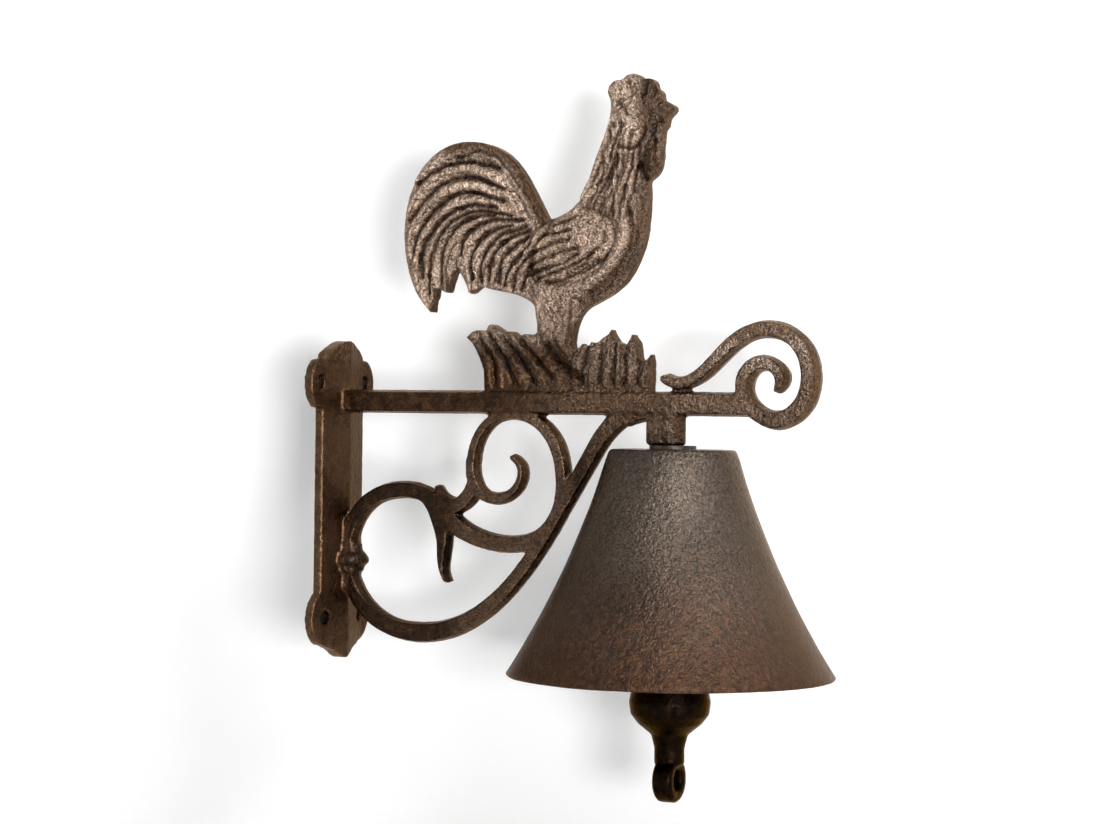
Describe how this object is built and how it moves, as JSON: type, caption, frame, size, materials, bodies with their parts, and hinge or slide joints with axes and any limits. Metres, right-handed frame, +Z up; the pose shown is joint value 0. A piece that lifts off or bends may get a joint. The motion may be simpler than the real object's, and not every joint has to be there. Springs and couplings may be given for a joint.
{
  "type": "wall bell",
  "caption": "Cast iron wall bell: a flared bell with a hanging clapper under a scrollwork bracket topped by a rooster.",
  "frame": {"origin": "middle of the wall plate's back face, on the bracket's parting plane", "axes": "+X out of the wall along the bar, +Y along the wall, +Z up"},
  "size_m": [0.2097, 0.125, 0.2761],
  "materials": {
    "cast_iron": "sand cast, weathered",
    "bell_iron": "sand cast, weathered",
    "steel": "dulled"
  },
  "bodies": {
    "frame": {"bracket": "cast_iron", "bell": "bell_iron", "crown_washer": "steel", "inner_washer": "steel", "nut": "steel", "eye_bolt": "steel"},
    "link": {"link": "steel"},
    "clapper": {"clapper": "bell_iron"}
  },
  "joints": [
    {"name": "link_swing", "type": "hinge", "parent": "frame", "child": "link", "pos_m": [0.1472, 0, -0.00275], "axis": [0, 1, 0], "range_deg": [-24, 24]},
    {"name": "clapper_swing", "type": "hinge", "parent": "link", "child": "clapper", "pos_m": [0.1472, 0, -0.01575], "axis": [1, 0, 0], "range_deg": [-30, 30]}
  ]
}
